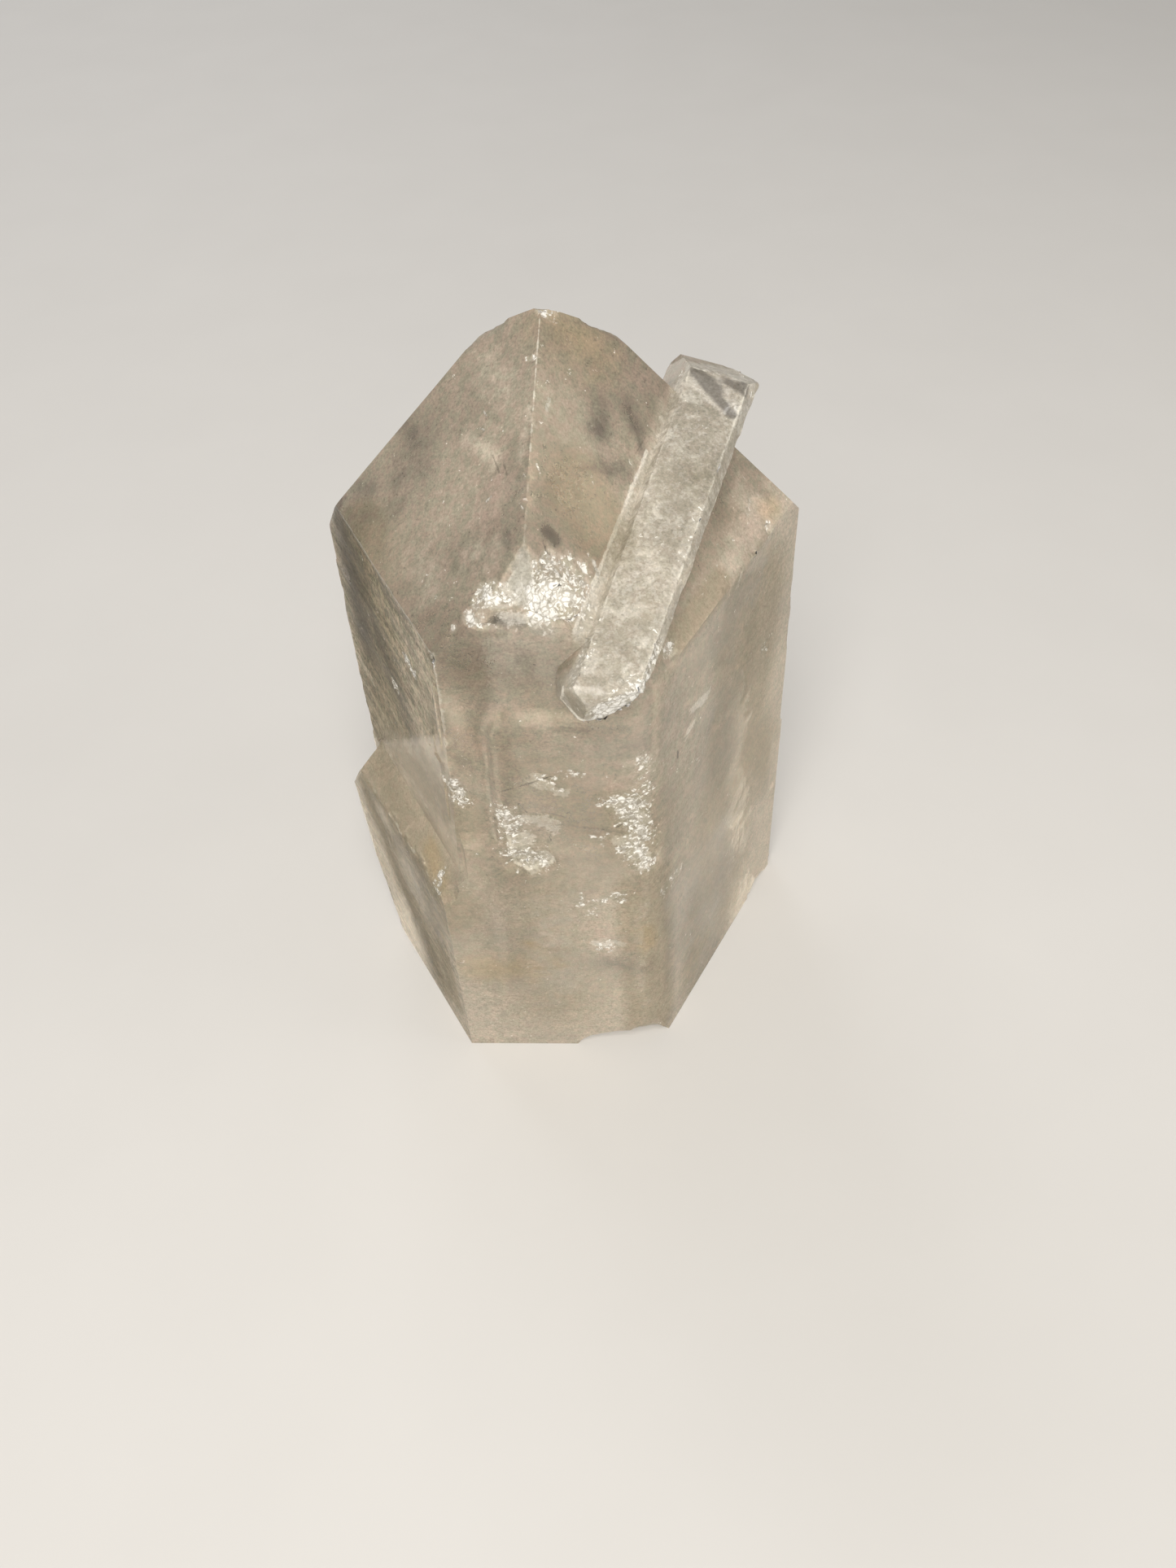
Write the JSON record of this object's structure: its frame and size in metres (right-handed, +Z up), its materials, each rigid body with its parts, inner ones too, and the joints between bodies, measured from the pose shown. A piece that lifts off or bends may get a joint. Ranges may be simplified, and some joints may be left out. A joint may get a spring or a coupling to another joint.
{
  "type": "quartz crystal",
  "caption": "Clear quartz crystal: an upright prism with a faceted tip, a lower crystal grown on its left, a slim crystal lying across the tip, and a flat sawn root to stand on.",
  "frame": {"origin": "middle of the footprint's box, at the level of the sawn root", "axes": "+Z up along the main crystal's own axis towards its tip, -Y towards the front prism face, +X to the right of someone facing that face"},
  "size_m": [0.064, 0.0682, 0.1016],
  "materials": {
    "quartz": "clear, slightly milky quartz with glossy growth faces, finely striated sides and white frosted breaks"
  },
  "bodies": {
    "root": {"quartz_crystal": "quartz"}
  },
  "joints": []
}
